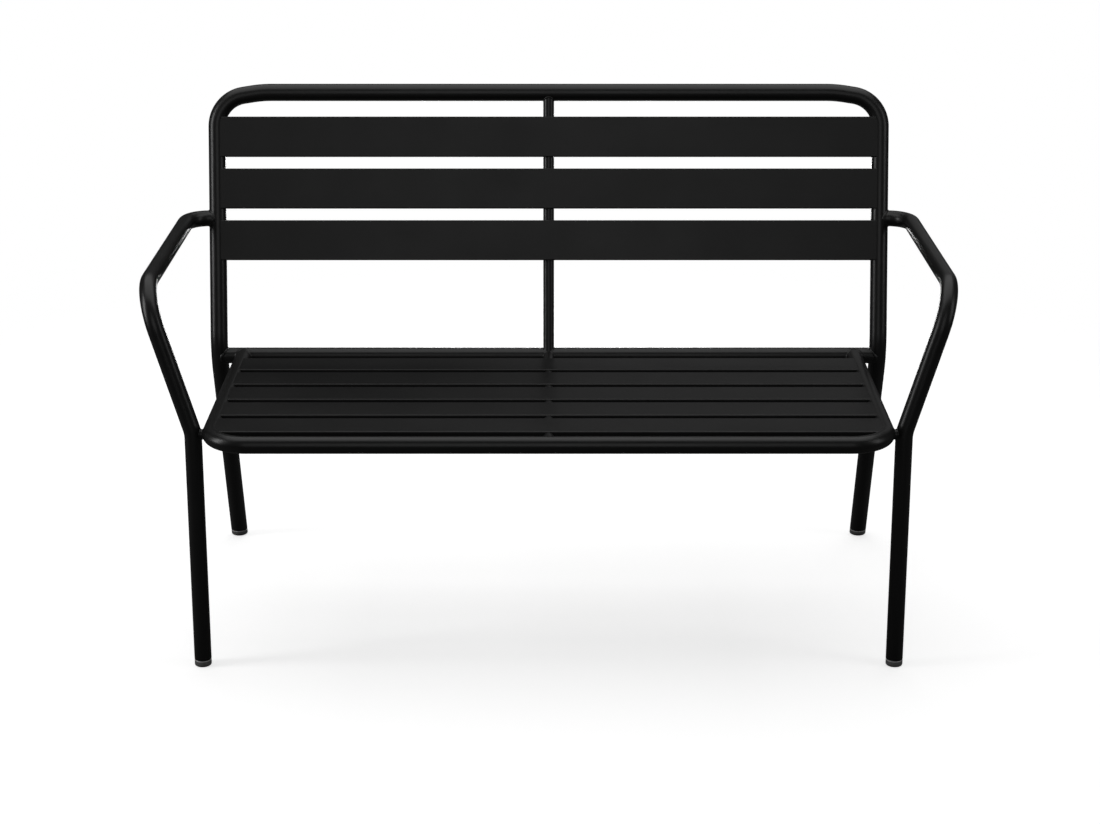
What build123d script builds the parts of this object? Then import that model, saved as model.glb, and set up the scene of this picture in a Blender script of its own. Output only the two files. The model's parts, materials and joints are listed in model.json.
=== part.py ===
# Metal garden bench: a welded frame of bent round tube with pressed sheet slats in seat and back
# Millimetres, +Z up, front towards -Y, origin on the floor under the middle of the bench
import os
from build123d import *

os.makedirs("parts", exist_ok=True)

# Tube and sheet stock
back_tube = 30
arm_tube = 28
bar_tube = 19
tube_wall = 1.5
sheet = 1.2

# Widths between tube axes on the two sides, as distances from the middle plane
upright_x = 581
armrest_x = 632
elbow_x = 638.9
front_leg_x = 568.6
seat_side_x = 538.6

# Depths and heights of the back frame's axis: feet, seat bend and top rail
rear_foot_y = 310.3
seat_bend_y = 162.7
seat_bend_z = 402
top_rail_y = 281.7
top_rail_z = 843

# Depths and heights of the arm tube's axis
front_foot_y = -263
leg_bend_y = -242.8
leg_bend_z = 397.4
elbow_y = -229.3
elbow_z = 628.2
armrest_end_z = 632
arm_joint_z = 630.8

# Seat frame
front_rail_y = -310.4
front_rail_z = 401.3
rear_rail_z = 396

# Bend radii on the tube axis
seat_bend_radius = 117
corner_radius = 55
brow_radius = 200
leg_bend_radius = 60
elbow_radius = 74
armrest_end_radius = 42
seat_corner_radius = 63

# The top rail dips a little before each corner
brow_x = 502
corner_dip = 12.5

# Slats
seat_slat_count = 5
back_slat_count = 3
slat_lip = 10
slat_edge_radius = 1.8
seat_slat_width = 67
seat_slat_pitch = 82
first_seat_slat = 29.6
seat_slat_rise = 12.2
back_slat_width = 70
back_slat_pitch = 90.2
first_back_slat = 42.7
back_slat_rise = 13.5

# Feet
glide_height = 11
glide_edge = 2.8
plug_length = 32
plug_lead = 4
fin_thickness = 2.6

# Clearances and cuts: coped ends stop end_setback short of the axis of the tube that they meet
weld_gap = 0.3
fin_clearance = 0.1
end_setback = 4
overrun = 40


def bent_path(corners, radii):
    # Straight runs joined by arcs: each inner corner is rounded to its own radius
    with BuildLine() as line:
        start = corners[0]
        for corner, following, radius in zip(corners[1:-1], corners[2:], radii):
            back = (start - corner).normalized()
            ahead = (following - corner).normalized()
            inward = (back + ahead).normalized()
            reach = radius * back.dot(inward) / back.cross(inward).length
            arc_start = corner + back * reach
            arc_end = corner + ahead * reach
            arc_middle = corner + inward * (radius / back.cross(inward).length - radius)
            Line(start, arc_start)
            ThreePointArc(arc_start, arc_middle, arc_end)
            start = arc_end
        Line(start, corners[-1])
    return line.wire()


def tube_along(path, diameter, wall):
    # A tube swept along a path, or a solid bar where the wall is zero
    with BuildPart() as tube:
        with BuildSketch(Plane(origin=path @ 0, z_dir=path % 0)):
            Circle(diameter / 2)
            if wall:
                Circle(diameter / 2 - wall, mode=Mode.SUBTRACT)
        sweep(path=path)
    return tube.part


def largest(part):
    # The piece that is left between two cut ends
    return part.solids().sort_by(SortBy.VOLUME)[-1]


# Directions of the three flat planes that the frame lies in
back_up = Vector(0, top_rail_y - seat_bend_y, top_rail_z - seat_bend_z).normalized()
back_front = Vector(0, -back_up.Z, back_up.Y)
rear_leg_up = Vector(0, seat_bend_y - rear_foot_y, seat_bend_z).normalized()
front_leg_up = Vector(0, leg_bend_y - front_foot_y, leg_bend_z).normalized()

# Back frame: one tube from foot to foot, over the top rail
half_back = [
    Vector(upright_x, rear_foot_y, 0) - rear_leg_up * overrun,
    Vector(upright_x, seat_bend_y, seat_bend_z),
    Vector(upright_x, top_rail_y, top_rail_z) - back_up * corner_dip,
    Vector(brow_x, top_rail_y, top_rail_z),
]
left_half_back = [Vector(-point.X, point.Y, point.Z) for point in half_back]
half_radii = [seat_bend_radius, corner_radius, brow_radius]
back_path = bent_path(left_half_back + half_back[::-1], half_radii + half_radii[::-1])
back_core = tube_along(back_path, back_tube, 0)

with BuildPart() as back_frame:
    add(tube_along(back_path, back_tube, tube_wall))
    split(bisect_by=Plane.XY.offset(glide_height), keep=Keep.TOP)

# Rear seat rail: a cross tube between the uprights, at the seat bend
bend_inward = (back_up - rear_leg_up).normalized()
bend_sine = back_up.cross(bend_inward).length
rear_rail_y = seat_bend_y + bend_inward.Y * (seat_bend_radius / bend_sine - seat_bend_radius)
rear_rail_reach = upright_x - end_setback
rail_path = bent_path(
    [
        Vector(-rear_rail_reach, rear_rail_y, rear_rail_z),
        Vector(rear_rail_reach, rear_rail_y, rear_rail_z),
    ],
    [],
)
rail_core = tube_along(rail_path, arm_tube, 0)

with BuildPart() as seat_rear_rail:
    add(tube_along(rail_path, arm_tube, tube_wall))
    add(back_core, mode=Mode.SUBTRACT)

# Seat frame: front rail and side rails in one bent tube, its ends on the rear rail
seat_end_y = rear_rail_y - end_setback
half_seat = [
    Vector(seat_side_x, seat_end_y, rear_rail_z),
    Vector(seat_side_x, front_rail_y, front_rail_z),
]
left_half_seat = [Vector(-point.X, point.Y, point.Z) for point in half_seat]
seat_path = bent_path(left_half_seat + half_seat[::-1], [seat_corner_radius, seat_corner_radius])
seat_core = tube_along(seat_path, arm_tube, 0)
seat_back = (half_seat[0] - half_seat[1]).normalized()
seat_up = Vector(0, -seat_back.Z, seat_back.Y)

with BuildPart() as seat_frame:
    add(tube_along(seat_path, arm_tube, tube_wall))
    add(rail_core, mode=Mode.SUBTRACT)

# Arms: front leg, forearm, armrest and its return to the upright in one bent tube
joint_along = (arm_joint_z - seat_bend_z) / back_up.Z
arm_joint_y = seat_bend_y + back_up.Y * joint_along
arm_corners = [
    Vector(-front_leg_x, front_foot_y, 0) - front_leg_up * overrun,
    Vector(-front_leg_x, leg_bend_y, leg_bend_z),
    Vector(-elbow_x, elbow_y, elbow_z),
    Vector(-armrest_x, arm_joint_y, armrest_end_z),
    Vector(-upright_x - end_setback, arm_joint_y, arm_joint_z),
]
arm_path = bent_path(arm_corners, [leg_bend_radius, elbow_radius, armrest_end_radius])
arm_core = tube_along(arm_path, arm_tube, 0)

with BuildPart() as left_arm:
    add(tube_along(arm_path, arm_tube, tube_wall))
    split(bisect_by=Plane.XY.offset(glide_height), keep=Keep.TOP)
    add(back_core, mode=Mode.SUBTRACT)

with BuildPart() as right_arm:
    mirror(left_arm.part, about=Plane.YZ)

# Spacers: a short stub between each front leg and the seat frame's side
spacer_diameter = 17
spacer_z = 395
spacer_y = leg_bend_y

with BuildPart() as left_spacer:
    with BuildSketch(Plane(origin=(-front_leg_x, spacer_y, spacer_z), z_dir=(1, 0, 0))):
        Circle(spacer_diameter / 2)
    extrude(amount=front_leg_x - seat_side_x)
    add(arm_core, mode=Mode.SUBTRACT)
    add(seat_core, mode=Mode.SUBTRACT)

with BuildPart() as right_spacer:
    mirror(left_spacer.part, about=Plane.YZ)

# Middle post behind the back slats, from the rear rail to the top rail
post_rise = back_slat_rise - sheet - weld_gap - bar_tube / 2
post_lead = 4
post_path = bent_path(
    [
        Vector(0, rear_rail_y - post_lead, rear_rail_z),
        Vector(0, top_rail_y, top_rail_z) + back_front * post_rise,
    ],
    [],
)
post_room = tube_along(post_path, bar_tube + 2 * weld_gap, 0)

with BuildPart() as back_post:
    add(tube_along(post_path, bar_tube, tube_wall))
    add(back_core, mode=Mode.SUBTRACT)
    add(rail_core, mode=Mode.SUBTRACT)

# Middle bar under the seat slats, from the front rail to the rear rail
bar_rise = seat_slat_rise - sheet - weld_gap - bar_tube / 2
bar_path = bent_path(
    [
        Vector(0, front_rail_y, front_rail_z) + seat_up * bar_rise,
        Vector(0, seat_end_y, rear_rail_z) + seat_up * bar_rise,
    ],
    [],
)
bar_room = tube_along(bar_path, bar_tube + 2 * weld_gap, 0)

with BuildPart() as seat_middle_bar:
    add(tube_along(bar_path, bar_tube, tube_wall))
    add(seat_core, mode=Mode.SUBTRACT)
    add(rail_core, mode=Mode.SUBTRACT)
    add(post_room, mode=Mode.SUBTRACT)


def rounded_top(width, depth, radius):
    # A rectangle hung from the middle of its top edge, with both top corners rounded
    with BuildSketch() as shape:
        Rectangle(width, depth, align=(Align.CENTER, Align.MAX))
        fillet(shape.vertices().group_by(Axis.Y)[-1], radius=radius)
    return shape.sketch


def slat(middle, across, outward, width, half_length, frame_core, middle_room):
    # A pressed channel: flat face outward, both long edges turned away from it
    # Its ends are coped to the frame tube and its lips notched over the middle tube
    with BuildPart() as channel:
        with BuildSketch(Plane(origin=middle, x_dir=across, z_dir=across.cross(outward))):
            add(rounded_top(width, slat_lip, slat_edge_radius))
            hollow = rounded_top(width - 2 * sheet, slat_lip, slat_edge_radius - sheet)
            with Locations((0, -sheet)):
                add(hollow, mode=Mode.SUBTRACT)
        extrude(amount=half_length, both=True)
        add(frame_core, mode=Mode.SUBTRACT)
        add(middle_room, mode=Mode.SUBTRACT)
    return largest(channel.part)


# Seat slats, numbered from the rear to the front
seat_slats = []
for number in range(seat_slat_count):
    steps = seat_slat_count - 1 - number
    travel = first_seat_slat + seat_slat_width / 2 + seat_slat_pitch * steps
    middle = Vector(0, front_rail_y, front_rail_z) + seat_back * travel + seat_up * seat_slat_rise
    with BuildPart() as seat_slat:
        add(slat(middle, seat_back, seat_up, seat_slat_width, seat_side_x, seat_core, bar_room))
    seat_slats.append(seat_slat.part)

# Back slats, numbered from the top down
back_slats = []
for number in range(back_slat_count):
    drop = first_back_slat + back_slat_width / 2 + back_slat_pitch * number
    middle = Vector(0, top_rail_y, top_rail_z) - back_up * drop + back_front * back_slat_rise
    with BuildPart() as back_slat:
        add(slat(middle, back_up, back_front, back_slat_width, upright_x, back_core, post_room))
    back_slats.append(back_slat.part)


def foot_glide(foot, leg_up, diameter):
    # A moulded cap as wide as its tube, with a cross of fins that is pushed up inside
    bore_radius = diameter / 2 - tube_wall
    fin_reach = ((bore_radius - fin_clearance) ** 2 - (fin_thickness / 2) ** 2) ** 0.5
    with BuildPart() as glide:
        with BuildSketch(Plane(origin=foot - leg_up * overrun, z_dir=leg_up)):
            Circle(diameter / 2)
        extrude(amount=2 * overrun)
        split(bisect_by=Plane.XY.offset(glide_height), keep=Keep.BOTTOM)
        split(bisect_by=Plane.XY, keep=Keep.TOP)
        chamfer(glide.edges().group_by(Axis.Z)[0], length=glide_edge)
        plug_base = Plane(origin=foot + leg_up * (glide_height / 2), x_dir=(1, 0, 0), z_dir=leg_up)
        with BuildSketch(plug_base):
            Rectangle(2 * fin_reach, fin_thickness)
            Rectangle(fin_thickness, 2 * fin_reach)
        extrude(amount=plug_length)
        fin_tips = glide.faces().sort_by(Axis.Z)[-1].edges().sort_by(SortBy.LENGTH)[:4]
        chamfer(fin_tips, length=plug_lead)
    return glide.part


front_left_glide = foot_glide(Vector(-front_leg_x, front_foot_y, 0), front_leg_up, arm_tube)
front_right_glide = foot_glide(Vector(front_leg_x, front_foot_y, 0), front_leg_up, arm_tube)
rear_left_glide = foot_glide(Vector(-upright_x, rear_foot_y, 0), rear_leg_up, back_tube)
rear_right_glide = foot_glide(Vector(upright_x, rear_foot_y, 0), rear_leg_up, back_tube)

# One file for each piece
pieces = {
    "back_frame": back_frame.part,
    "left_arm": left_arm.part,
    "right_arm": right_arm.part,
    "seat_frame": seat_frame.part,
    "seat_rear_rail": seat_rear_rail.part,
    "seat_middle_bar": seat_middle_bar.part,
    "back_post": back_post.part,
    "left_spacer": left_spacer.part,
    "right_spacer": right_spacer.part,
    "front_left_glide": front_left_glide,
    "front_right_glide": front_right_glide,
    "rear_left_glide": rear_left_glide,
    "rear_right_glide": rear_right_glide,
}
for number, part in enumerate(seat_slats):
    pieces[f"seat_slat_{number + 1}"] = part
for number, part in enumerate(back_slats):
    pieces[f"back_slat_{number + 1}"] = part

for name, part in pieces.items():
    part.label = name
    export_step(part, f"parts/{name}.step")
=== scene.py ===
import bpy
import bmesh
import json
import math
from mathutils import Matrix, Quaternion, Vector

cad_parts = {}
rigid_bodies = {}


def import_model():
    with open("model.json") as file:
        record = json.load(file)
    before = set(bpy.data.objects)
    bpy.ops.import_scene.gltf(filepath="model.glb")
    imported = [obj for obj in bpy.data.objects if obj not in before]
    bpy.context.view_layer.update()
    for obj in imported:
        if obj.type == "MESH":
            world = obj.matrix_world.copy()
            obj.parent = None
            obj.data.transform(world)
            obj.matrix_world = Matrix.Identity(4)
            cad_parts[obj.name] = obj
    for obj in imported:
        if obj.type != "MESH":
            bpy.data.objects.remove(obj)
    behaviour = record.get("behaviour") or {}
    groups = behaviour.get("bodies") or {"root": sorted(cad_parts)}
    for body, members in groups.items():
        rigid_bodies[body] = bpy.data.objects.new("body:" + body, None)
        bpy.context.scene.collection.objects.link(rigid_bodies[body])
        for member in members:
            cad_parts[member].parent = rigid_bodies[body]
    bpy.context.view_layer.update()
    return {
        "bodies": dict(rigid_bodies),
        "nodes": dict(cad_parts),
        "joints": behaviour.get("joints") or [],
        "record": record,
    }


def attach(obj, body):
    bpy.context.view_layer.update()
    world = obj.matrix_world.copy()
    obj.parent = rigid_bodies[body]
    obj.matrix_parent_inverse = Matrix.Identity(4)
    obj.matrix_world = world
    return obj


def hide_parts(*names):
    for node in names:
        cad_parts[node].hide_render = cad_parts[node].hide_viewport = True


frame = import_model()

# Everything is in metres: x along the bench, front towards -y, floor at z = 0
mm = 0.001
arcStep = math.radians(3)        # how finely a bend is cut up
creaseAngle = math.radians(35)   # edges that turn more than this stay sharp
tubeSides = 64
tubeShy = 0.05 * mm              # keeps the finer tubes inside the solids' box
mergeGap = 0.001 * mm


def srgb(code):
    # hex colour to linear RGBA
    parts = [int(code[i:i + 2], 16) / 255 for i in (1, 3, 5)]
    return [p / 12.92 if p <= 0.04045 else ((p + 0.055) / 1.055) ** 2.4 for p in parts] + [1]


def addNode(tree, kind, inputs=None, **settings):
    # a node with its settings; an input is a value or another node's output socket
    node = tree.nodes.new(kind)
    for name, value in settings.items():
        setattr(node, name, value)
    for name, value in (inputs or {}).items():
        if isinstance(value, bpy.types.NodeSocket):
            tree.links.new(value, node.inputs[name])
        else:
            node.inputs[name].default_value = value
    return node


def clearedTree(block):
    # the emptied node tree of a material or of the world
    block.use_nodes = True
    block.node_tree.nodes.clear()
    return block.node_tree


tubeFinish = {
    "colour": "#131313",
    "paleSpeck": "#1a1a1a",
    "roughness": 0.36,
    "coat": 0.10,
    "cloudSize": 91.43 * mm,    # patches that are a little duller or glossier
    "peelSize": 1.6 * mm,       # orange peel of the cured powder
    "peelDepth": 0.010 * mm,
    "grainSize": 0.45 * mm,     # the powder's own grain, drawn coarse enough to show
    "grainDepth": 0.003 * mm,
}
slatFinish = {
    "colour": "#131313",
    "paleSpeck": "#1a1a1a",
    "roughness": 0.40,
    "coat": 0.0,
    "cloudSize": 108.57 * mm,
    "peelSize": 1.9 * mm,
    "peelDepth": 0.016 * mm,
    "grainSize": 0.5 * mm,
    "grainDepth": 0.005 * mm,
}
powder = {
    "ior": 1.5,                 # polyester resin
    "coatRoughness": 0.25,
    "roughSpread": 0.03,        # how far the clouds move the roughness, up and down
    "cloudRange": (0.3, 0.7),   # the part of the noise that the clouds use
    "speckRange": (0.55, 0.75),
}
glideFinish = {
    "colour": "#848484",
    "shade": "#6c6c6c",
    "paintedHighlight": "#dcdcdc",        # the top edge, pale: a painted highlight where the cap's rim catches the light
    "paintedHighlightFrom": 9.2 * mm,
    "paintedHighlightTo": 10.0 * mm,
    "paintedShade": "#4c4c4c",        # the bottom edge, darker towards the floor: painted shade
    "paintedShadeFrom": 4.5 * mm,
    "paintedShadeTo": 1.5 * mm,
    "roughness": 0.34,
    "ior": 1.51,
    "glow": 0.04,               # the little light that the plastic lets in
    "glowDepth": 1 * mm,
    "flowSize": 6 * mm,
    "grainSize": 0.6 * mm,      # spark-eroded mould texture, drawn coarse enough to show
    "grainDepth": 0.012 * mm,
    "grainStrength": 0.6,
}


def powderCoat(name, finish):
    # polyester powder baked on steel: an even satin skin with orange peel that softens reflections
    material = bpy.data.materials.new(name)
    tree = clearedTree(material)
    place = addNode(tree, "ShaderNodeTexCoord").outputs["Object"]
    cloud, speck, peel = (
        addNode(tree, "ShaderNodeTexNoise", {
            "Vector": place, "Scale": 1 / size, "Detail": detail,
        }).outputs["Fac"]
        for size, detail in ((finish["cloudSize"], 3), (finish["grainSize"], 1), (finish["peelSize"], 2))
    )
    speckMask = addNode(tree, "ShaderNodeMapRange", {
        "Value": speck, "From Min": powder["speckRange"][0], "From Max": powder["speckRange"][1],
    })
    colour = addNode(tree, "ShaderNodeMix", {
        "Factor": speckMask.outputs["Result"],
        "A": srgb(finish["colour"]),
        "B": srgb(finish["paleSpeck"]),
    }, data_type="RGBA")
    roughness = addNode(tree, "ShaderNodeMapRange", {
        "Value": cloud, "From Min": powder["cloudRange"][0], "From Max": powder["cloudRange"][1],
        "To Min": finish["roughness"] - powder["roughSpread"],
        "To Max": finish["roughness"] + powder["roughSpread"],
    })
    peelBump = addNode(tree, "ShaderNodeBump", {
        "Height": peel, "Distance": finish["peelDepth"], "Strength": 1.0,
    })
    grainBump = addNode(tree, "ShaderNodeBump", {
        "Height": speck, "Distance": finish["grainDepth"], "Strength": 1.0,
        "Normal": peelBump.outputs["Normal"],
    })
    skin = addNode(tree, "ShaderNodeBsdfPrincipled", {
        "Base Color": colour.outputs["Result"],
        "Roughness": roughness.outputs["Result"],
        "Metallic": 0.0,
        "IOR": powder["ior"],
        "Coat Weight": finish["coat"],
        "Coat Roughness": powder["coatRoughness"],
        "Normal": grainBump.outputs["Normal"],
    })
    output = addNode(tree, "ShaderNodeOutputMaterial", {"Surface": skin.outputs["BSDF"]})
    output.is_active_output = True
    return material


def mouldedPlastic(name, finish):
    # injection-moulded polyethylene: waxy grey with a faint flow cloud, a painted highlight along the top
    # edge and painted shade along the bottom edge
    material = bpy.data.materials.new(name)
    tree = clearedTree(material)
    place = addNode(tree, "ShaderNodeTexCoord").outputs["Object"]
    flow, grain = (
        addNode(tree, "ShaderNodeTexNoise", {
            "Vector": place, "Scale": 1 / size, "Detail": detail,
        }).outputs["Fac"]
        for size, detail in ((finish["flowSize"], 3), (finish["grainSize"], 2))
    )
    colour = addNode(tree, "ShaderNodeMix", {
        "Factor": flow,
        "A": srgb(finish["colour"]),
        "B": srgb(finish["shade"]),
    }, data_type="RGBA")
    height = addNode(tree, "ShaderNodeSeparateXYZ", {"Vector": place}).outputs["Z"]
    # painted light by height: a pale top edge for a painted highlight, a dark bottom edge for painted shade
    for paintedLight in ("paintedHighlight", "paintedShade"):
        share = addNode(tree, "ShaderNodeMapRange", {
            "Value": height, "From Min": finish[paintedLight + "From"], "From Max": finish[paintedLight + "To"],
        })
        colour = addNode(tree, "ShaderNodeMix", {
            "Factor": share.outputs["Result"], "A": colour.outputs["Result"], "B": srgb(finish[paintedLight]),
        }, data_type="RGBA")
    bump = addNode(tree, "ShaderNodeBump", {
        "Height": grain, "Distance": finish["grainDepth"], "Strength": finish["grainStrength"],
    })
    skin = addNode(tree, "ShaderNodeBsdfPrincipled", {
        "Base Color": colour.outputs["Result"],
        "Roughness": finish["roughness"],
        "IOR": finish["ior"],
        "Subsurface Weight": finish["glow"],
        "Subsurface Scale": finish["glowDepth"],
        "Normal": bump.outputs["Normal"],
    })
    output = addNode(tree, "ShaderNodeOutputMaterial", {"Surface": skin.outputs["BSDF"]})
    output.is_active_output = True
    return material


tubeCoat = powderCoat("satin powder-coated steel tube", tubeFinish)
slatCoat = powderCoat("fine powder-coated steel sheet", slatFinish)
glidePlastic = mouldedPlastic("moulded grey polyethylene", glideFinish)
print("stage: finishes")


def bentPath(corners, radii):
    # straight runs joined by arcs, as a tube bender makes them
    points = [corners[0]]
    for corner, following, radius in zip(corners[1:-1], corners[2:], radii):
        back = (points[-1] - corner).normalized()
        ahead = (following - corner).normalized()
        inward = (back + ahead).normalized()
        sine = back.cross(inward).length
        reach = radius * back.dot(inward) / sine
        centre = corner + inward * (radius / sine)
        spoke = corner + back * reach - centre
        lastSpoke = corner + ahead * reach - centre
        turn = spoke.angle(lastSpoke)
        axle = spoke.cross(lastSpoke).normalized()
        steps = max(2, round(turn / arcStep))
        points += [centre + Quaternion(axle, turn * i / steps) @ spoke for i in range(steps + 1)]
    return points + [corners[-1]]


def mirrored(points):
    return [Vector((-p.x, p.y, p.z)) for p in points]


def addObject(name, data):
    thing = bpy.data.objects.new(name, data)
    bpy.context.scene.collection.objects.link(thing)
    return thing


def pathObject(name, runs, closed=False):
    curve = bpy.data.curves.new(name, "CURVE")
    curve.dimensions = "3D"
    for points in runs:
        spline = curve.splines.new("POLY")
        spline.points.add(len(points) - 1)
        spline.use_cyclic_u = closed
        for slot, point in zip(spline.points, points):
            slot.co = (*point, 1)
    return addObject(name, curve)


def sectionObject(name, points):
    # one flat face
    mesh = bpy.data.meshes.new(name)
    mesh.from_pydata(points, [], [range(len(points))])
    return addObject(name, mesh)


def newTree(name, floats=(), vectors=()):
    tree = bpy.data.node_groups.new(name, "GeometryNodeTree")
    tree.interface.new_socket("Geometry", in_out="INPUT", socket_type="NodeSocketGeometry")
    for label in floats:
        tree.interface.new_socket(label, in_out="INPUT", socket_type="NodeSocketFloat")
    for label in vectors:
        tree.interface.new_socket(label, in_out="INPUT", socket_type="NodeSocketVector")
    tree.interface.new_socket("Material", in_out="INPUT", socket_type="NodeSocketMaterial")
    tree.interface.new_socket("Geometry", in_out="OUTPUT", socket_type="NodeSocketGeometry")
    return tree, addNode(tree, "NodeGroupInput").outputs


def closeTree(tree, geometry, material, sharpAngle=creaseAngle):
    # smooth faces, sharp edges past the angle, then instances made real and the finish set
    smooth = addNode(tree, "GeometryNodeSetShadeSmooth", {
        "Geometry": geometry, "Shade Smooth": True,
    }, domain="FACE")
    angle = addNode(tree, "GeometryNodeInputMeshEdgeAngle").outputs["Unsigned Angle"]
    isSharp = addNode(tree, "FunctionNodeCompare", {
        "A": angle, "B": sharpAngle,
    }, data_type="FLOAT", operation="GREATER_THAN")
    sharp = addNode(tree, "GeometryNodeSetShadeSmooth", {
        "Geometry": smooth.outputs["Geometry"], "Shade Smooth": False,
        "Selection": isSharp.outputs["Result"],
    }, domain="EDGE")
    real = addNode(tree, "GeometryNodeRealizeInstances", {"Geometry": sharp.outputs["Geometry"]})
    finish = addNode(tree, "GeometryNodeSetMaterial", {
        "Geometry": real.outputs["Geometry"], "Material": material,
    })
    addNode(tree, "NodeGroupOutput", {"Geometry": finish.outputs["Geometry"]})


def tubeTree():
    # a round profile carried along a path, closed at both ends
    tree, given = newTree("tubeAlongPath", floats=("Diameter", "Sides"))
    radius = addNode(tree, "ShaderNodeMath", {0: given["Diameter"], 1: 0.5}, operation="MULTIPLY")
    circle = addNode(tree, "GeometryNodeCurvePrimitiveCircle", {
        "Resolution": given["Sides"], "Radius": radius.outputs[0],
    })
    swept = addNode(tree, "GeometryNodeCurveToMesh", {
        "Curve": given["Geometry"], "Profile Curve": circle.outputs["Curve"], "Fill Caps": True,
    })
    closeTree(tree, swept.outputs["Mesh"], given["Material"])
    return tree


# shares are of the thinner tube's diameter, and the counts and spans serve the lines that the beads follow
weld = {
    "beadShare": 0.115,                # radius of the rod of weld metal round a joint
    "sinkShare": 0.054,                # how deep its middle lies under both tubes' skins
    "beadSides": 20,
    "beadPace": 0.8 * mm,
    "beadCrease": math.radians(80),
    "ripple": 2.4 * mm,
    "swell": 0.03,
    "stitch": 20 * mm,                 # length of a short weld under a slat
    "stitchBead": 1.3 * mm,
    "stitchAt": 17 * mm,               # its middle, from the slat's centre line
    "ringPoints": 60,
    "ringStart": 40 * mm,              # how far outside the joint the search for it begins
    "ringSpan": 60 * mm,               # how much of the other tube takes part
    "stitchPoints": 9,
    "stitchStart": 90 * mm,
    "stitchSpan": 160 * mm,
}


def beadTree():
    # a weld bead: a thin rod along the joint, swelling once for each ripple
    tree, given = newTree("weldBead", floats=("Bead", "Ripple", "Swell"))
    fine = addNode(tree, "GeometryNodeResampleCurve", {
        "Curve": given["Geometry"], "Length": weld["beadPace"],
    }, mode="LENGTH")
    whole = addNode(tree, "GeometryNodeSplineLength").outputs["Length"]
    ripples = addNode(tree, "ShaderNodeMath", {0: whole, 1: given["Ripple"]}, operation="DIVIDE")
    count = addNode(tree, "ShaderNodeMath", {0: ripples.outputs[0]}, operation="ROUND")
    along = addNode(tree, "GeometryNodeSplineParameter").outputs["Factor"]
    turns = addNode(tree, "ShaderNodeMath", {0: along, 1: count.outputs[0]}, operation="MULTIPLY")
    phase = addNode(tree, "ShaderNodeMath", {0: turns.outputs[0], 1: math.tau}, operation="MULTIPLY")
    wave = addNode(tree, "ShaderNodeMath", {0: phase.outputs[0]}, operation="SINE")
    swell = addNode(tree, "ShaderNodeMath", {
        0: wave.outputs[0], 1: given["Swell"], 2: 1.0,
    }, operation="MULTIPLY_ADD")
    size = addNode(tree, "ShaderNodeMath", {0: swell.outputs[0], 1: given["Bead"]}, operation="MULTIPLY")
    circle = addNode(tree, "GeometryNodeCurvePrimitiveCircle", {
        "Resolution": weld["beadSides"], "Radius": 1.0,
    })
    swept = addNode(tree, "GeometryNodeCurveToMesh", {
        "Curve": fine.outputs["Curve"], "Profile Curve": circle.outputs["Curve"],
        "Scale": size.outputs[0], "Fill Caps": True,
    })
    closeTree(tree, swept.outputs["Mesh"], given["Material"], weld["beadCrease"])
    return tree


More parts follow.
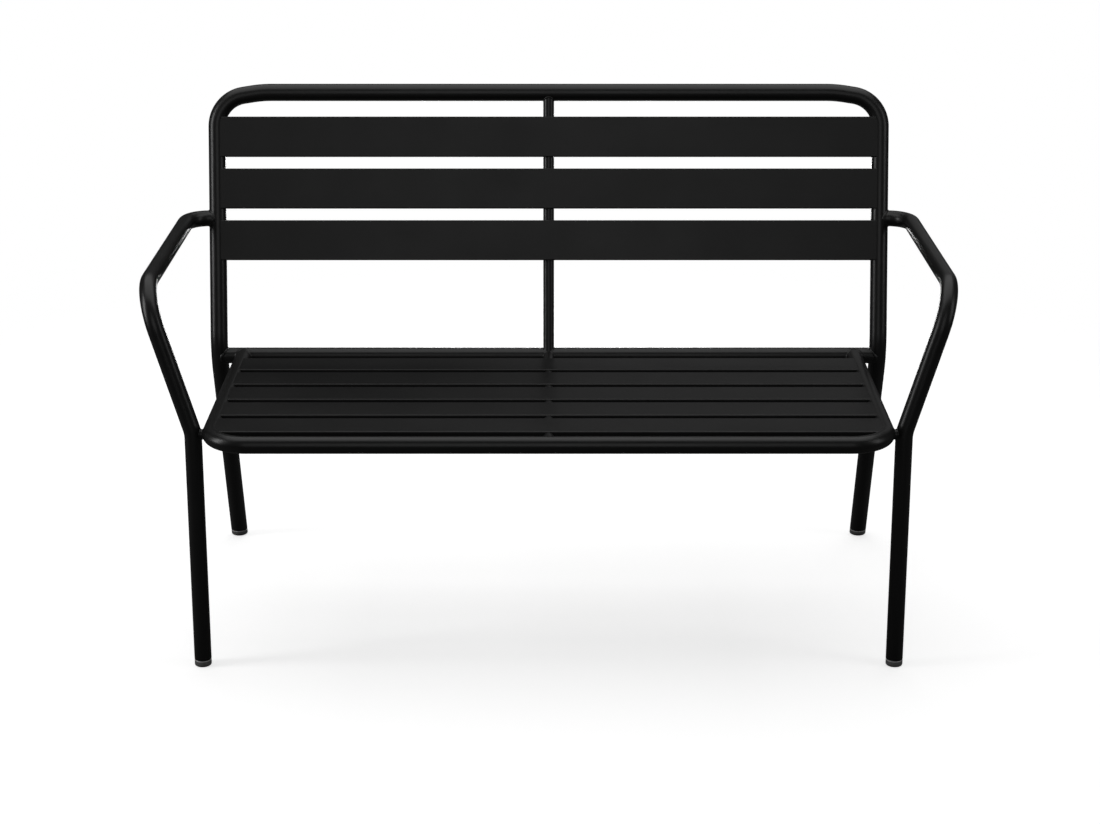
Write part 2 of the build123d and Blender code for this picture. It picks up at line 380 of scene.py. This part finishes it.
def slatTree():
    # the slat's section, one face at x = 0, is pulled out both ways and ended on the frame's rounded outline
    floats, vectors = ("Side", "Corner Radius", "Corner Start"), ("Rail", "Across")
    tree, given = newTree("slatOnFrame", floats, vectors)
    double = addNode(tree, "ShaderNodeMath", {0: given["Side"], 1: 2.0}, operation="MULTIPLY")
    minus = addNode(tree, "ShaderNodeMath", {0: given["Side"], 1: -1.0}, operation="MULTIPLY")
    toLeft = addNode(tree, "ShaderNodeCombineXYZ", {"X": minus.outputs[0]})
    toRight = addNode(tree, "ShaderNodeCombineXYZ", {"X": double.outputs[0]})
    left = addNode(tree, "GeometryNodeSetPosition", {
        "Geometry": given["Geometry"], "Offset": toLeft.outputs[0],
    })
    pulled = addNode(tree, "GeometryNodeExtrudeMesh", {
        "Mesh": left.outputs["Geometry"], "Individual": False,
        "Offset": toRight.outputs[0], "Offset Scale": 1.0,
    }, mode="FACES")
    otherEnd = addNode(tree, "GeometryNodeFlipFaces", {"Mesh": left.outputs["Geometry"]})
    both = addNode(tree, "GeometryNodeJoinGeometry")
    tree.links.new(pulled.outputs["Mesh"], both.inputs["Geometry"])
    tree.links.new(otherEnd.outputs["Mesh"], both.inputs["Geometry"])
    whole = addNode(tree, "GeometryNodeMergeByDistance", {
        "Geometry": both.outputs["Geometry"], "Distance": mergeGap,
    })
    # how far each point lies from the cross rail, then how wide the frame is there
    here = addNode(tree, "GeometryNodeInputPosition").outputs["Position"]
    fromRail = addNode(tree, "ShaderNodeVectorMath", {0: here, 1: given["Rail"]}, operation="SUBTRACT")
    travel = addNode(tree, "ShaderNodeVectorMath", {
        0: fromRail.outputs[0], 1: given["Across"],
    }, operation="DOT_PRODUCT")
    short = addNode(tree, "ShaderNodeMath", {
        0: given["Corner Start"], 1: travel.outputs["Value"],
    }, operation="SUBTRACT")
    inArc = addNode(tree, "ShaderNodeMath", {0: short.outputs[0], 1: 0.0}, operation="MAXIMUM")
    arcSquare = addNode(tree, "ShaderNodeMath", {0: inArc.outputs[0], 1: 2.0}, operation="POWER")
    radiusSquare = addNode(tree, "ShaderNodeMath", {0: given["Corner Radius"], 1: 2.0}, operation="POWER")
    rest = addNode(tree, "ShaderNodeMath", {
        0: radiusSquare.outputs[0], 1: arcSquare.outputs[0],
    }, operation="SUBTRACT")
    reach = addNode(tree, "ShaderNodeMath", {0: rest.outputs[0]}, operation="SQRT")
    flat = addNode(tree, "ShaderNodeMath", {
        0: given["Side"], 1: given["Corner Radius"],
    }, operation="SUBTRACT")
    limit = addNode(tree, "ShaderNodeMath", {0: flat.outputs[0], 1: reach.outputs[0]}, operation="ADD")
    parts = addNode(tree, "ShaderNodeSeparateXYZ", {"Vector": here}).outputs
    sign = addNode(tree, "ShaderNodeMath", {0: parts["X"]}, operation="SIGN")
    signed = addNode(tree, "ShaderNodeMath", {
        0: sign.outputs[0], 1: limit.outputs[0],
    }, operation="MULTIPLY")
    ended = addNode(tree, "ShaderNodeCombineXYZ", {
        "X": signed.outputs[0], "Y": parts["Y"], "Z": parts["Z"],
    })
    fitted = addNode(tree, "GeometryNodeSetPosition", {
        "Geometry": whole.outputs["Geometry"], "Position": ended.outputs[0],
    })
    closeTree(tree, fitted.outputs["Geometry"], given["Material"])
    return tree


def grow(tree, name, source, values):
    # runs a tree on a path or a section and returns the result as a plain mesh object
    modifier = source.modifiers.new(tree.name, "NODES")
    modifier.node_group = tree
    sockets = {item.name: item.identifier for item in tree.interface.items_tree if item.in_out == "INPUT"}
    for label, value in values.items():
        modifier[sockets[label]] = value
    bpy.context.view_layer.update()
    ready = source.evaluated_get(bpy.context.evaluated_depsgraph_get())
    mesh = bpy.data.meshes.new_from_object(ready)
    mesh.name = name
    mesh.materials.clear()
    mesh.materials.append(values["Material"])
    source.modifiers.clear()
    bpy.data.objects.remove(source)
    return addObject(name, mesh)


tubeNodes, beadNodes, slatNodes = tubeTree(), beadTree(), slatTree()
print("stage: node trees")


backFrame = {
    "diameter": 30 * mm,
    "uprightX": 581 * mm,
    "foot": (310.3 * mm, 0),           # y and z of the axis, as are the others
    "seatBend": (162.7 * mm, 402 * mm),
    "topRail": (281.7 * mm, 843 * mm),
    "browX": 502 * mm,                 # where the top rail begins to dip towards its corner
    "cornerDip": 12.5 * mm,
    "radii": (117 * mm, 55 * mm, 200 * mm),
}
armTube = {
    "diameter": 28 * mm,
    "legX": 568.6 * mm,
    "elbowX": 638.9 * mm,
    "armrestX": 632 * mm,
    "foot": (-263 * mm, 0),
    "legBend": (-242.8 * mm, 397.4 * mm),
    "elbow": (-229.3 * mm, 628.2 * mm),
    "armrestEnd": 632 * mm,
    "joint": 630.8 * mm,
    "radii": (60 * mm, 74 * mm, 42 * mm),
}
seatFrame = {
    "diameter": 28 * mm,
    "sideX": 538.6 * mm,
    "frontRail": (-310.4 * mm, 401.3 * mm),
    "rearRailZ": 396 * mm,
    "radius": 63 * mm,
    "bar": 19 * mm,                    # middle bar and back post
}
glide = {
    "height": 11 * mm,
    "edge": 2.8 * mm,                  # the rounding at the floor
    "edgeSteps": 6,
    "flat": 1 * mm,                    # the sole's outermost ring, which keeps the rounding crisp
    "lip": 0.9 * mm,
    "lipShares": ((1.3, 0), (1, 1 / 30), (0.5, 0.28), (0.12, 0.7), (0, 1)),    # down and in, of the lip
    "seam": 0.5 * mm,                  # the line between the cap and the tube
    "shy": 0.15 * mm,
    "sides": 72,
}
tubeEase = 0.6 * mm                    # the deburred edge of a tube's cut end
tubeEaseSteps = 2
hiddenEnd = 4 * mm                     # an end stops this far short of the axis that it meets


def yz(x, pair):
    # a point from its x and a (y, z) pair
    return Vector((x, *pair))


backCorners = [
    yz(backFrame["uprightX"], backFrame["foot"]),
    yz(backFrame["uprightX"], backFrame["seatBend"]),
    yz(backFrame["uprightX"], backFrame["topRail"]),
    yz(backFrame["browX"], backFrame["topRail"]),
]
backUp = (backCorners[2] - backCorners[1]).normalized()
backFront = Vector((0, -backUp.z, backUp.y))
rearLegUp = (backCorners[1] - backCorners[0]).normalized()
backCorners[2] = backCorners[2] - backUp * backFrame["cornerDip"]
backPath = bentPath(
    mirrored(backCorners) + backCorners[::-1],
    backFrame["radii"] + backFrame["radii"][::-1],
)

# the rear rail sits where the uprights bend, so it is found from that bend
bendInward = (backUp - rearLegUp).normalized()
bendSine = backUp.cross(bendInward).length
railY = backFrame["seatBend"][0] + bendInward.y * backFrame["radii"][0] * (1 / bendSine - 1)
railEnd = Vector((backFrame["uprightX"] - hiddenEnd, railY, seatFrame["rearRailZ"]))
railPath = [Vector((-railEnd.x, railEnd.y, railEnd.z)), railEnd]

seatCorners = [
    Vector((seatFrame["sideX"], railY - hiddenEnd, seatFrame["rearRailZ"])),
    yz(seatFrame["sideX"], seatFrame["frontRail"]),
]
seatBack = (seatCorners[0] - seatCorners[1]).normalized()
seatUp = Vector((0, -seatBack.z, seatBack.y))
seatPath = bentPath(mirrored(seatCorners) + seatCorners[::-1], (seatFrame["radius"],) * 2)

jointY = backFrame["seatBend"][0] + backUp.y / backUp.z * (armTube["joint"] - backFrame["seatBend"][1])
frontLegUp = (yz(0, armTube["legBend"]) - yz(0, armTube["foot"])).normalized()
armCorners = [
    yz(armTube["legX"], armTube["foot"]),
    yz(armTube["legX"], armTube["legBend"]),
    yz(armTube["elbowX"], armTube["elbow"]),
    Vector((armTube["armrestX"], jointY, armTube["armrestEnd"])),
    Vector((backFrame["uprightX"] + hiddenEnd, jointY, armTube["joint"])),
]
armPath = bentPath(armCorners, armTube["radii"])


def trimFoot(piece):
    # the legs are cut level with the floor, just above their glides, and the cut is closed
    level = glide["height"] + glide["seam"] / 2
    shape = bmesh.new()
    shape.from_mesh(piece.data)
    everything = shape.verts[:] + shape.edges[:] + shape.faces[:]
    cut = bmesh.ops.bisect_plane(
        shape, geom=everything, plane_co=(0, 0, level), plane_no=(0, 0, 1), clear_inner=True
    )
    rim = [e for e in cut["geom_cut"] if isinstance(e, bmesh.types.BMEdge)]
    bmesh.ops.holes_fill(shape, edges=rim, sides=0)
    bmesh.ops.bevel(shape, geom=rim, offset=tubeEase, segments=tubeEaseSteps, profile=0.5, affect="EDGES")
    shape.to_mesh(piece.data)
    shape.free()


def placePiece(piece, slot, *nodes):
    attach(piece, "root")
    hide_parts(*nodes)
    return piece


def awayFrom(point, segments):
    # distance from a point to the nearest of some straight segments
    nearest = math.inf
    for start, end in segments:
        step = end - start
        share = min(1, max(0, (point - start).dot(step) / step.length_squared))
        nearest = min(nearest, (point - start - step * share).length)
    return nearest


def segmentsNear(path, point, reach):
    return [pair for pair in zip(path, path[1:]) if awayFrom(point, [pair]) < reach]


def firstTouch(start, end, segments, radius):
    # walks from start to end and stops where the line first enters the tube round the segments
    paces, halvings = 40, 8
    within = (i for i in range(1, paces) if awayFrom(start.lerp(end, i / paces), segments) < radius)
    entered = next(within, paces)
    outside, inside = (entered - 1) / paces, entered / paces
    for halving in range(halvings):
        half = (outside + inside) / 2
        if awayFrom(start.lerp(end, half), segments) < radius:
            inside = half
        else:
            outside = half
    return start.lerp(end, inside)


def jointRing(path, diameter, other, otherDiameter):
    # the line round the last point of a path where its tube meets the other tube, a little under both skins
    end = path[-1]
    away = (path[-2] - end).normalized()
    side = away.orthogonal().normalized()
    segments = segmentsNear(other, end, weld["ringSpan"])
    sink = diameter * weld["sinkShare"]
    ring = []
    for i in range(weld["ringPoints"]):
        turn = Quaternion(away, math.tau * i / weld["ringPoints"])
        inner = end + turn @ side * (diameter / 2 - sink)
        ring.append(firstTouch(inner + away * weld["ringStart"], inner, segments, otherDiameter / 2 - sink))
    return ring


def addBeads(piece, runs, closed, radius, coat):
    # grows the beads and puts them into the piece's own mesh
    lines = pathObject(piece.name + " joints", runs, closed)
    bead = grow(beadNodes, piece.name + " bead", lines, {
        "Bead": radius, "Ripple": weld["ripple"], "Swell": weld["swell"], "Material": coat,
    })
    shape = bmesh.new()
    shape.from_mesh(piece.data)
    shape.from_mesh(bead.data)
    shape.to_mesh(piece.data)
    shape.free()
    bpy.data.objects.remove(bead)


def makeTube(node, points, diameter, trimmed=False, joints=()):
    values = {"Diameter": diameter - 2 * tubeShy, "Sides": tubeSides, "Material": tubeCoat}
    name = node.replace("_", "-")
    piece = grow(tubeNodes, name, pathObject(name + " path", [points]), values)
    if trimmed:
        trimFoot(piece)
    if joints:
        addBeads(piece, joints, True, diameter * weld["beadShare"], tubeCoat)
    return placePiece(piece, "tube_coat", node)


def bothEnds(path, diameter, *others):
    # a straight bar's two joints; the others are (path, diameter) pairs, first end first
    return [
        jointRing(run, diameter, *other)
        for run, other in zip((path[::-1], path), others)
    ]


back = (backPath, backFrame["diameter"])
rail = (railPath, seatFrame["diameter"])
seat = (seatPath, seatFrame["diameter"])
makeTube("back_frame", *back, trimmed=True)
arms = {
    "left": (mirrored(armPath), armTube["diameter"]),
    "right": (armPath, armTube["diameter"]),
}
for side, arm in arms.items():
    makeTube(f"{side}_arm", *arm, trimmed=True, joints=[jointRing(*arm, *back)])
makeTube("seat_frame", *seat, joints=bothEnds(*seat, rail, rail))
makeTube("seat_rear_rail", *rail, joints=bothEnds(*rail, back, back))
print("stage: bent tubes")


bars = {
    "weldGap": 0.3 * mm,               # between a bar and the slats over it
    "postLead": 4 * mm,                # the post's foot lies this far before the rear rail's axis
    "spacer": 17 * mm,
    "spacerZ": 395 * mm,
}
slats = {
    "sheet": 1.2 * mm,
    "lip": 10 * mm,
    "edgeRadius": 1.8 * mm,
    "bendSteps": (7, 4),               # outside and inside of the folded edge
    "cutEdge": 0.35 * mm,              # the lips' sheared edge, eased by the powder
    "support": 0.6 * mm,               # keeps the flat face flat beside its rounded edges
    "seatCount": 5,
    "seatWidth": 67 * mm,
    "seatPitch": 82 * mm,
    "seatFirst": 29.6 * mm,
    "seatRise": 12.2 * mm,
    "backCount": 3,
    "backWidth": 70 * mm,
    "backPitch": 90.2 * mm,
    "backFirst": 42.7 * mm,
    "backRise": 13.5 * mm,
}
frontRail = yz(0, seatFrame["frontRail"])
topRail = yz(0, backFrame["topRail"])
barRadius = seatFrame["bar"] / 2
barRise = slats["seatRise"] - slats["sheet"] - bars["weldGap"] - barRadius
postRise = slats["backRise"] - slats["sheet"] - bars["weldGap"] - barRadius
barPath = [frontRail + seatUp * barRise, Vector((0, seatCorners[0].y, seatCorners[0].z)) + seatUp * barRise]
postPath = [
    Vector((0, railY - bars["postLead"], seatFrame["rearRailZ"])),
    topRail + backFront * postRise,
]
spacerPath = [
    Vector((armTube["legX"] - hiddenEnd, armTube["legBend"][0], bars["spacerZ"])),
    Vector((seatFrame["sideX"] + hiddenEnd, armTube["legBend"][0], bars["spacerZ"])),
]


def shortened(path, cut):
    # the ends are drawn in so that they stay buried in the tubes that they meet
    along = (path[1] - path[0]).normalized() * cut
    return [path[0] + along, path[1] - along]


middleBar = (shortened(barPath, hiddenEnd), seatFrame["bar"])
backPost = (shortened(postPath, hiddenEnd), seatFrame["bar"])
makeTube("seat_middle_bar", *middleBar, joints=bothEnds(*middleBar, seat, rail))
makeTube("back_post", *backPost, joints=bothEnds(*backPost, rail, back))
for side, points in (("left", mirrored(spacerPath)), ("right", spacerPath)):
    spacer = (points, bars["spacer"])
    makeTube(f"{side}_spacer", *spacer, joints=bothEnds(*spacer, arms[side], seat))
print("stage: bars and spacers")


def arcPoints(centre, radius, steps):
    # a quarter turn as (across, out) pairs
    angles = [math.radians(90) * i / steps for i in range(steps + 1)]
    return [(centre[0] + radius * math.cos(a), centre[1] + radius * math.sin(a)) for a in angles]


def channelSection(width):
    # (across, out) pairs: the right half, from the outer face round the lip and back inside, then its mirror
    half = width / 2
    radius, sheet, ease, support = slats["edgeRadius"], slats["sheet"], slats["cutEdge"], slats["support"]
    inner = radius - sheet
    outerSteps, innerSteps = slats["bendSteps"]
    outer = arcPoints((half - radius, -radius), radius, outerSteps)[::-1]
    lipOut = [(half, -slats["lip"] + ease), (half - ease, -slats["lip"])]
    lipIn = [(half - sheet + ease, -slats["lip"]), (half - sheet, -slats["lip"] + ease)]
    inside = arcPoints((half - radius, -radius), inner, innerSteps)
    right = [(half - radius - support, 0)] + outer + [(half, -radius - support)] + lipOut + lipIn
    right += [(half - sheet, -radius - support)] + inside + [(half - radius - support, -sheet)]
    return right + [(-a, h) for a, h in right[::-1]]


def stitches(middle, across, side, frame, diameter):
    # short weld lines under both ends of a slat, where its sheet lies against the frame
    runs = []
    last = weld["stitchPoints"] - 1
    for sign in (-1, 1):
        toFrame = Vector((sign * side, 0, 0))
        toStart = Vector((sign * (side - weld["stitchStart"]), 0, 0))
        segments = segmentsNear(frame, middle + toFrame, weld["stitchSpan"])
        for offset in (-weld["stitchAt"], weld["stitchAt"]):
            run = []
            for i in range(last + 1):
                level = middle + across * (offset + weld["stitch"] * (i / last - 0.5))
                run.append(firstTouch(level + toStart, level + toFrame, segments, diameter / 2))
            runs.append(run)
    return runs


def makeSlat(node, panel, travel):
    # travel is the slat's centre line, measured across the panel from its rail's axis
    across, outward, side = panel["across"], panel["outward"], panel["side"]
    middle = panel["rail"] + across * travel + outward * panel["rise"]
    points = [middle + across * a + outward * h for a, h in channelSection(panel["width"])]
    name = node.replace("_", "-")
    piece = grow(slatNodes, name, sectionObject(name + " section", points), {
        "Side": side, "Corner Radius": panel["cornerRadius"], "Corner Start": panel["cornerStart"],
        "Rail": panel["rail"], "Across": across, "Material": slatCoat,
    })
    under = middle - outward * (slats["sheet"] + weld["stitchBead"] / 2)
    addBeads(piece, stitches(under, across, side, *panel["frame"]), False, weld["stitchBead"], slatCoat)
    return placePiece(piece, "slat_coat", node)


# where the top rail's corner arc begins, measured down the back from the rail's axis
slope = math.atan2(backFrame["cornerDip"], backFrame["uprightX"] - backFrame["browX"])
cornerTurn = math.radians(90) - slope
backCornerStart = backFrame["cornerDip"] + backFrame["radii"][1] * math.tan(cornerTurn / 2)

seatPanel = {
    "rail": frontRail, "across": seatBack, "outward": seatUp, "frame": seat, "side": seatFrame["sideX"],
    "width": slats["seatWidth"], "rise": slats["seatRise"],
    "cornerRadius": seatFrame["radius"], "cornerStart": seatFrame["radius"],
}
backPanel = {
    "rail": topRail, "across": -backUp, "outward": backFront, "frame": back, "side": backFrame["uprightX"],
    "width": slats["backWidth"], "rise": slats["backRise"],
    "cornerRadius": backFrame["radii"][1], "cornerStart": backCornerStart,
}
for number in range(slats["seatCount"]):
    fromFront = slats["seatCount"] - 1 - number
    travel = slats["seatFirst"] + slats["seatWidth"] / 2 + slats["seatPitch"] * fromFront
    makeSlat(f"seat_slat_{number + 1}", seatPanel, travel)
for number in range(slats["backCount"]):
    travel = slats["backFirst"] + slats["backWidth"] / 2 + slats["backPitch"] * number
    makeSlat(f"back_slat_{number + 1}", backPanel, travel)
print("stage: slats")


def makeGlide(node, foot, legUp, diameter):
    radius = diameter / 2 - glide["shy"]
    lean = legUp / legUp.z                     # sideways travel for each metre of height
    stretch = 1 / legUp.z                      # a level cut through a leaning tube is longer than wide
    height, edge, lip = glide["height"] - glide["seam"] / 2, glide["edge"], glide["lip"]
    sides, steps = glide["sides"], glide["edgeSteps"]
    quarter = [math.radians(90) * i / steps for i in range(steps + 1)]
    outline = [(0, radius - edge - glide["flat"])]
    outline += [(edge * (1 - math.cos(a)), radius - edge + edge * math.sin(a)) for a in quarter]
    outline += [(height - lip * down, radius - lip * inward) for down, inward in glide["lipShares"]]
    shape = bmesh.new()
    rings = []
    for z, r in outline:
        ring = []
        for i in range(sides):
            angle = math.tau * i / sides
            spoke = Vector((r * math.cos(angle), r * stretch * math.sin(angle), 0))
            ring.append(shape.verts.new(foot + lean * z + spoke))
        rings.append(ring)
    for low, high in zip(rings, rings[1:]):
        for i in range(sides):
            j = (i + 1) % sides
            shape.faces.new((low[i], low[j], high[j], high[i])).smooth = True
    # the two ends are closed with a fan each, wound so that both face outwards
    for ring, z, order in ((rings[0], 0, -1), (rings[-1], height, 1)):
        pole = shape.verts.new(foot + lean * z)
        for i in range(sides):
            corner = (ring[i], ring[(i + 1) % sides], pole)
            shape.faces.new(corner[::order])
    bmesh.ops.recalc_face_normals(shape, faces=shape.faces[:])
    name = node.replace("_", "-")
    mesh = bpy.data.meshes.new(name)
    shape.to_mesh(mesh)
    shape.free()
    mesh.materials.append(glidePlastic)
    return placePiece(addObject(name, mesh), "foot_plastic", node)


for side, sign in (("left", -1), ("right", 1)):
    frontFoot = yz(sign * armTube["legX"], armTube["foot"])
    rearFoot = yz(sign * backFrame["uprightX"], backFrame["foot"])
    makeGlide(f"front_{side}_glide", frontFoot, frontLegUp, armTube["diameter"])
    makeGlide(f"rear_{side}_glide", rearFoot, rearLegUp, backFrame["diameter"])
print("stage: glides")


studio = {
    "floorColour": "#f4f4f4",
    "floorRadius": 2.3,
    "floorFade": 1.2,              # how far in from its rim the floor begins to clear
    "floorEdge": 0.1,              # and how far in it is quite clear
    "floorSides": 96,
    "floorLift": 0.68,             # the share of the floor's white that no shadow takes away
    "bounce": 0.13,                # how pale the floor is to everything but the camera
    "room": 0.036,                 # how bright the room is to everything but the camera
}
# the low lamp behind the bench reaches only what the photograph's camera can't see
lamps = {
    "overhead": {"at": (0, 0.7, 2.7), "aim": (0, 0.7, 0), "size": (4.0, 3.2), "power": 38.5},
    "front wall": {"at": (0, -4.8, 2.2), "aim": (0, 0, 0.9), "size": (2.7, 3.0), "power": 14.8},
    "left bank": {"at": (-2.9, -0.6, 1.3), "aim": (0, 0, 0.5), "size": (0.7, 1.8), "power": 19},
    "right bank": {"at": (2.9, -0.9, 1.5), "aim": (0, 0, 0.5), "size": (0.8, 1.8), "power": 6.6},
    "back right": {"at": (1.2, 3.2, 1.6), "aim": (0.3, 0, 0.4), "size": (2.8, 1.6), "power": 1.6},
    "rear low": {"at": (0, 2.6, 0.2), "aim": (0, 0.2, 0.6), "size": (0.8, 0.28), "power": 10},
}
# width, focal length and centre line are in the photograph's pixels, the sensor is in millimetres
photo = {
    "width": 1100,
    "focal": 2302.6,
    "centreLine": 548.65,
    "pitch": 19.134,
    "eye": (0, -3.70987, 1.63564),
    "sensor": 36,
}


def stageFloor():
    # pale floor to the camera, dim to reflections, fading into the white room at its edge
    material = bpy.data.materials.new("pale studio floor")
    tree = clearedTree(material)
    rays = addNode(tree, "ShaderNodeLightPath").outputs
    white = srgb(studio["floorColour"])
    paint = addNode(tree, "ShaderNodeBsdfDiffuse", {"Color": white})
    lift = addNode(tree, "ShaderNodeEmission", {"Color": (1, 1, 1, 1), "Strength": studio["floorLift"]})
    seen = addNode(tree, "ShaderNodeAddShader", {0: paint.outputs[0], 1: lift.outputs[0]})
    dim = addNode(tree, "ShaderNodeBsdfDiffuse", {"Color": (*[studio["bounce"]] * 3, 1)})
    body = addNode(tree, "ShaderNodeMixShader", {
        0: rays["Is Camera Ray"], 1: dim.outputs[0], 2: seen.outputs[0],
    })
    place = addNode(tree, "ShaderNodeTexCoord").outputs["Object"]
    away = addNode(tree, "ShaderNodeVectorMath", {0: place}, operation="LENGTH")
    fade = addNode(tree, "ShaderNodeMapRange", {
        "Value": away.outputs["Value"],
        "From Min": studio["floorRadius"] - studio["floorFade"],
        "From Max": studio["floorRadius"] - studio["floorEdge"],
    }, interpolation_type="SMOOTHSTEP")
    clear = addNode(tree, "ShaderNodeBsdfTransparent")
    both = addNode(tree, "ShaderNodeMixShader", {
        0: fade.outputs["Result"], 1: body.outputs[0], 2: clear.outputs[0],
    })
    addNode(tree, "ShaderNodeOutputMaterial", {"Surface": both.outputs[0]})
    shape = bmesh.new()
    bmesh.ops.create_circle(
        shape, cap_ends=True, segments=studio["floorSides"], radius=studio["floorRadius"]
    )
    mesh = bpy.data.meshes.new("floor")
    shape.to_mesh(mesh)
    shape.free()
    mesh.materials.append(material)
    addObject("floor", mesh)


def whiteRoom():
    # white to the camera, dim to the coat, which the photograph shows reflecting a dark studio
    world = bpy.data.worlds.new("white room")
    bpy.context.scene.world = world
    tree = clearedTree(world)
    rays = addNode(tree, "ShaderNodeLightPath").outputs
    dim = addNode(tree, "ShaderNodeBackground", {"Color": (1, 1, 1, 1), "Strength": studio["room"]})
    bright = addNode(tree, "ShaderNodeBackground", {"Color": (1, 1, 1, 1), "Strength": 1.0})
    both = addNode(tree, "ShaderNodeMixShader", {
        0: rays["Is Camera Ray"], 1: dim.outputs[0], 2: bright.outputs[0],
    })
    addNode(tree, "ShaderNodeOutputWorld", {"Surface": both.outputs[0]})


def hangLamps():
    for name, lamp in lamps.items():
        light = bpy.data.lights.new(name, "AREA")
        light.shape = "RECTANGLE"
        light.size, light.size_y = lamp["size"]
        light.energy = lamp["power"]
        thing = addObject(name, light)
        thing.location = lamp["at"]
        thing.visible_camera = False
        aim = Vector(lamp["aim"]) - thing.location
        thing.rotation_euler = aim.to_track_quat("-Z", "Y").to_euler()


def setCamera():
    data = bpy.data.cameras.new("photo camera")
    data.sensor_width = photo["sensor"]
    data.lens = photo["focal"] / photo["width"] * data.sensor_width
    data.shift_x = (photo["width"] / 2 - photo["centreLine"]) / photo["width"]
    camera = addObject("photo camera", data)
    camera.location = photo["eye"]
    camera.rotation_euler = (math.radians(90 - photo["pitch"]), 0, 0)
    bpy.context.scene.camera = camera


stageFloor()
whiteRoom()
hangLamps()
setCamera()
bpy.context.scene.view_settings.view_transform = "Standard"
